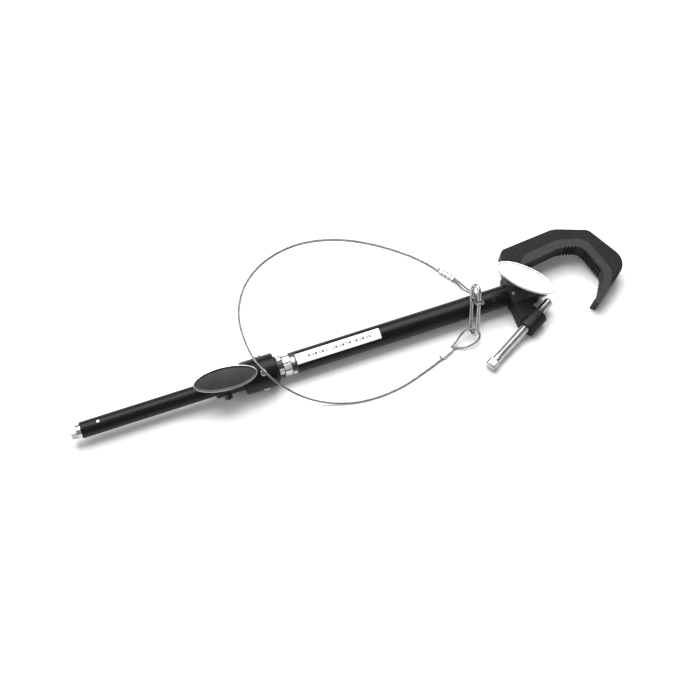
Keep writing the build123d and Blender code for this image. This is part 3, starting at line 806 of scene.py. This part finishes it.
@dataclass
class Carabiner:
    """Spring hook bent from round wire, with its riveted gate."""

    wire: float = 5.0
    half: float = 7.5
    length: float = 60.7
    nose: float = 14.7
    hinge: float = 43.8
    foot: tuple = (137.2, -19.2, 13.2)
    way: tuple = (0.206, 0.527, 0.824)
    side: tuple = (0.187, -0.84, 0.498)

    def build(self, arm: Arm) -> None:
        """Makes the bent wire: straight runs and two half circles, swept with a round section."""
        side = np.array(self.side) / np.linalg.norm(self.side)
        face = Seat.facing(np.array(self.foot) * MM, np.cross(side, self.way), side)
        top = self.length - self.half
        bend = np.linspace(math.pi, TURN, 41)
        back = np.linspace(0, math.pi, 41)
        half = self.half
        flat = np.concatenate(
            [
                [(-half, self.nose)],
                np.stack([half * np.cos(bend), half + half * np.sin(bend)], axis=-1),
                np.stack([half * np.cos(back), top + half * np.sin(back)], axis=-1),
                [(-half, self.hinge)],
            ]
        )
        points = resample(face.place(flat[:, 0] * MM, flat[:, 1] * MM, 0 * flat[:, 0]), 0.5 * MM)
        ease = np.minimum(np.arange(len(points)), np.arange(len(points))[::-1]) * 0.5
        radius = self.wire / 2 * np.sqrt(1 - (1 - np.clip(0.25 + ease / 1.2, 0, 1)) ** 2) * MM
        rings = tube_rings(points, face.out, radius[:, None], circle(32)[None, :])
        arm.add(Skin("carabiner_wire", rings, 60).build(), "arm", Slot.ZINC, "carabiner_body")


@dataclass
class TightenBolt:
    """Square-head bolt that is turned to press on the pipe."""

    diameter: float = 11.1
    pitch: float = 1.95
    depth: float = 0.75
    plain: float = 5.0
    head: float = 10.0
    across: float = 12.7
    tip: float = 1.6
    tip_inset: float = 1.7
    around: int = 44

    def build(self, arm: Arm) -> None:
        """Makes the threaded shank and the square head.

        The shank's radius is R - depth |2 frac(h / pitch - a / 2 pi) - 1|, with the ridge's flat
        crest clipped, and no groove near the head. The head's outline is a square with rounded
        corners, (|cos a|^n + |sin a|^n)^(-1/n) times half its width, chamfered at both ends.
        """
        joint = arm.joint("jaw_bolt_feed")
        points = vertices(arm.frame["nodes"]["jaw_bolt"].data)
        way = np.array(joint["axis"], float)
        reach = points @ way
        tail = points[reach < reach.min() + 0.5 * MM]
        centre = (tail.max(axis=0) + tail.min(axis=0)) / 2
        hook = np.array(arm.joint("clamp_handle_turn")["axis"])
        seat = Seat.facing(centre, way, hook)
        whole = (reach.max() - reach.min()) / MM
        heights = np.arange(self.head - 0.5, whole, self.pitch / 10)
        angle = circle(self.around)[None, :]
        ridge = abs(2 * ((heights[:, None] / self.pitch - angle / TURN) % 1) - 1)
        groove = np.clip(ridge * 1.35 - 0.12, 0, 1)
        fade = np.clip((heights - self.head - self.plain) / 2, 0, 1)[:, None]
        radius = self.diameter / 2 - 0.02 - self.depth * groove * fade
        tip = np.clip((heights - (whole - self.tip)) / self.tip, 0, 1)[:, None]
        radius = np.minimum(radius, self.diameter / 2 - self.tip_inset * tip)
        end = np.full((1, self.around), self.diameter / 2 - 1.9)
        heights, radius = np.append(heights, whole), np.vstack([radius, end])
        x, y = radius * np.cos(angle) * MM, radius * np.sin(angle) * MM
        rings = seat.place(x, y, heights[:, None] * MM + 0 * x)
        shank = Skin("tighten_bolt_thread", rings, 50).build()
        arm.add(shank, "jaw", Slot.BRIGHT_STEEL, "jaw_bolt")
        angle = circle(96)[None, :]
        power = 22
        powers = abs(np.cos(angle)) ** power + abs(np.sin(angle)) ** power
        square = powers ** (-1 / power) * self.across / 2
        foot = [self.head - 0.7, self.head - 0.2, self.head, self.head]
        level = np.array([0, 0, 0.06, 0.3, 0.8, *foot])
        inset = np.array([3.0, 0.75, 0.45, 0.2, 0, 0, 0.15, 0.6, 2.0])
        size = square - inset[:, None]
        rounder = np.minimum(size, self.across / 2 * 1.16 + 0.2 * level[:, None].clip(0, 1.5))
        x, y = rounder * np.cos(angle), rounder * np.sin(angle)
        rings = seat.place(x * MM, y * MM, level[:, None] * MM + 0 * x)
        arm.add(Skin("tighten_bolt_head", rings, 28).build(), "jaw", Slot.BRIGHT_STEEL)


@dataclass
class OvalHandle:
    """Oval T-handle with a raised rim, a second ridge under it, and its threaded stud."""

    node: str
    stud: str
    joint: str
    body: str
    slot: Slot
    turn: float
    length: float = 73.0
    width: float = 27.0
    drop: float = 17.9
    hub: float = 7.0
    stud_radius: float = 3.97
    stud_pitch: float = 1.25
    stud_depth: float = 0.6

    def seat(self, arm: Arm) -> Seat:
        """Axes at the middle of the rim's top, the normal pointing out along the stud."""
        joint = arm.joint(self.joint)
        points = vertices(arm.frame["nodes"][self.node].data)
        way = np.array(joint["axis"], float)
        if way[2] < 0:
            way = -way
        reach = points @ way
        top = points[reach > reach.max() - 0.1 * MM]
        return Seat.facing((top.max(axis=0) + top.min(axis=0)) / 2, way, (1, 0, 0), self.turn)

    def build(self, arm: Arm) -> None:
        """Makes the handle and its stud.

        A point is (A cos a, B sin a, h), where A and B are the oval's half sizes less the profile's
        inset, and blend into the hub's circle down the waist as a smooth step.
        """
        seat = self.seat(arm)
        rim = [
            (40, -0.75), (14, -0.8), (6, -0.85), (3.2, -0.9), (2.5, -0.88), (2.15, -0.7),
            (2.0, -0.25), (1.75, -0.03), (1.4, 0), (0.9, 0), (0.5, -0.1), (0.15, -0.4),
            (0.02, -0.9), (0.1, -1.35),
            (0.45, -1.6), (0.75, -1.85), (0.62, -2.15), (0.2, -2.4), (0.02, -2.8), (0.06, -3.2),
            (0.35, -3.6), (1.0, -3.9), (2.2, -4.1), (3.3, -4.35),
        ]
        inset, height = np.array(rim).T
        a = np.clip(self.length / 2 - inset, 0.2, None)
        b = np.clip(self.width / 2 - inset, 0.15, None)
        a[:3] = np.array([0.3, 12, 30])
        b[:3] = a[:3] * (self.width - 5) / (self.length - 5)
        ease = np.linspace(0, 1, 22)[1:]
        share = ease**0.62
        waist_a = (1 - share) * a[-1] + share * self.hub
        waist_b = (1 - share) * b[-1] + share * self.hub
        waist_h = height[-1] + (-11.9 - height[-1]) * ease**1.25
        hub = [
            (self.hub, -12.6), (self.hub, -17.3), (6.6, -self.drop),
            (4.6, -self.drop), (4.2, -17.0), (4.2, -12.5),
        ]
        hub_r, hub_h = np.array(hub).T
        a, b = np.concatenate([a, waist_a, hub_r]), np.concatenate([b, waist_b, hub_r])
        height = np.concatenate([height, waist_h, hub_h])
        angle = circle(128)[None, :]
        x, y = a[:, None] * np.cos(angle), b[:, None] * np.sin(angle)
        edge = np.zeros(len(a))
        edge[8:13] = (0.5, 1, 1, 1, 0.5)
        edge[17:21] = (0.7, 1, 1, 0.5)
        tones = {"edge": np.broadcast_to(edge[:, None], x.shape).copy()}
        rings = seat.place(x * MM, y * MM, height[:, None] * MM + 0 * x)
        oval = Skin(self.node + "_oval", rings, 50, tones).build()
        arm.add(oval, self.body, self.slot, self.node)
        self.build_stud(arm, seat)

    def build_stud(self, arm: Arm, seat: Seat) -> None:
        """Makes the stud: a rod with thread grooves, from inside the hub down to its foot."""
        reach = (vertices(arm.frame["nodes"][self.stud].data) - seat.origin) @ seat.out / MM
        heights = np.arange(reach.min(), reach.max(), self.stud_pitch / 10)
        angle = circle(32)[None, :]
        ridge = abs(2 * ((heights[:, None] / self.stud_pitch - angle / TURN) % 1) - 1)
        radius = self.stud_radius - self.stud_depth * np.clip(ridge * 1.3 - 0.12, 0, 1)
        x, y = radius * np.cos(angle) * MM, radius * np.sin(angle) * MM
        stud = Skin(self.stud + "_thread", seat.place(x, y, heights[:, None] * MM + 0 * x), 50)
        arm.add(stud.build(), self.body, Slot.PLAIN_STEEL, self.stud)


@dataclass
class Studio:
    """Pale floor, soft light and the camera."""

    target: tuple[float, float, float] = (-0.0070, 0.0056, 0.01955)
    heading: float = 19.87
    elevation: float = 61.84
    distance: float = 1.615
    lens: float = 72.0

    def build(self) -> None:
        """Makes the camera, the floor and the lights."""
        self.camera()
        self.floor()
        self.light("softbox_over", (0.05, 0.85, 1.9), (2.2, 1.7), 82)
        self.light("softbox_left", (-1.9, -0.3, 1.1), (0.6, 1.5), 10)
        world = bpy.data.worlds.new("studio_air")
        world.use_nodes = True
        air = world.node_tree.nodes["Background"]
        air.inputs[0].default_value = (1, 1, 1, 1)
        air.inputs[1].default_value = 0.36
        bpy.context.scene.world = world
        bpy.context.scene.view_settings.view_transform = "Standard"

    def camera(self) -> None:
        """Sets the camera back from its target along a heading and an elevation."""
        heading, lift = math.radians(self.heading), math.radians(self.elevation)
        level = math.cos(lift)
        ahead = (math.sin(heading) * level, math.cos(heading) * level, -math.sin(lift))
        way = Vector(ahead)
        data = bpy.data.cameras.new("camera")
        data.lens = self.lens
        data.sensor_width = 36
        camera = bpy.data.objects.new("camera", data)
        camera.location = Vector(self.target) - way * self.distance
        camera.rotation_mode = "QUATERNION"
        camera.rotation_quaternion = way.to_track_quat("-Z", "Y")
        bpy.context.scene.collection.objects.link(camera)
        bpy.context.scene.camera = camera

    def floor(self) -> None:
        """Lays a wide pale floor under the arm."""
        mesh = bpy.data.meshes.new("floor")
        size = 6.0
        corners = [(-size, -size, 0), (size, -size, 0), (size, size, 0), (-size, size, 0)]
        mesh.from_pydata(corners, [], [(0, 1, 2, 3)])
        recipe = Recipe("floor_paper")
        recipe.constants(Base_Color=(0.9, 0.9, 0.9), Roughness=0.9, Specular_IOR_Level=0.1)
        mesh.materials.append(recipe.material)
        floor = bpy.data.objects.new("floor", mesh)
        bpy.context.scene.collection.objects.link(floor)

    def light(self, name: str, place: tuple, size: tuple, power: float) -> None:
        """Hangs a rectangular softbox that faces the arm."""
        data = bpy.data.lights.new(name, "AREA")
        data.shape = "RECTANGLE"
        data.size, data.size_y = size
        data.energy = power
        lamp = bpy.data.objects.new(name, data)
        lamp.location = place
        lamp.rotation_mode = "QUATERNION"
        lamp.rotation_quaternion = (Vector(self.target) - Vector(place)).to_track_quat("-Z", "Y")
        bpy.context.scene.collection.objects.link(lamp)


def main() -> None:
    """Loads the part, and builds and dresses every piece."""
    logging.basicConfig(level=logging.INFO, format="%(name)s: %(message)s")
    for stray in list(bpy.data.objects):
        bpy.data.objects.remove(stray)
    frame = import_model()
    Studio().build()
    arm = Arm(frame)
    arm.dress()
    Carabiner().build(arm)
    SafetyRope().build(arm)
    TightenBolt().build(arm)
    bright = OvalHandle(
        "clamp_handle",
        "clamp_handle_stud",
        "clamp_handle_turn",
        "clamp_knob",
        Slot.BRIGHT_HANDLE,
        -45,
    )
    bright.build(arm)
    black = OvalHandle(
        "lock_handle", "lock_handle_stud", "lock_handle_turn", "lock_knob", Slot.BLACK_HANDLE, -4
    )
    black.build(arm)


if __name__ == "__main__":
    main()
